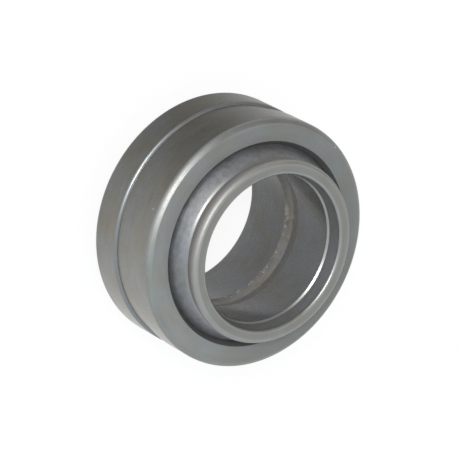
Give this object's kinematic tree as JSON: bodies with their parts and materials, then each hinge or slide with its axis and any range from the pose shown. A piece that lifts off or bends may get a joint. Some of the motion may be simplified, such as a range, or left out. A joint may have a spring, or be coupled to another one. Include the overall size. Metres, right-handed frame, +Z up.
{
  "type": "radial spherical plain bearing",
  "caption": "Steel radial spherical plain bearing: a ball-shaped inner ring with end collars and a through bore, running in a grooved outer ring that lets it turn and tilt.",
  "frame": {"origin": "on the bearing's axis, in the lower end face of the inner ring, which is the face it stands on", "axes": "+Z up along the axis of the bore; +Y towards the outer ring's oil hole; +X along the tilt axis, through the ball's centre at 12.5 mm height"},
  "size_m": [0.042, 0.042, 0.025],
  "materials": {
    "ball_steel": "hardened and ground bearing steel, satin grey",
    "race_steel": "hardened and ground bearing steel, satin grey"
  },
  "bodies": {
    "inner_ring": {"inner_ring": "ball_steel"},
    "outer_ring": {"outer_ring": "race_steel"}
  },
  "joints": [
    {"name": "outer_ring_tilt", "type": "hinge", "parent": "inner_ring", "child": "outer_ring", "pos_m": [0, 0, 0.0125], "axis": [1, 0, 0], "range_deg": [-4, 4]}
  ]
}
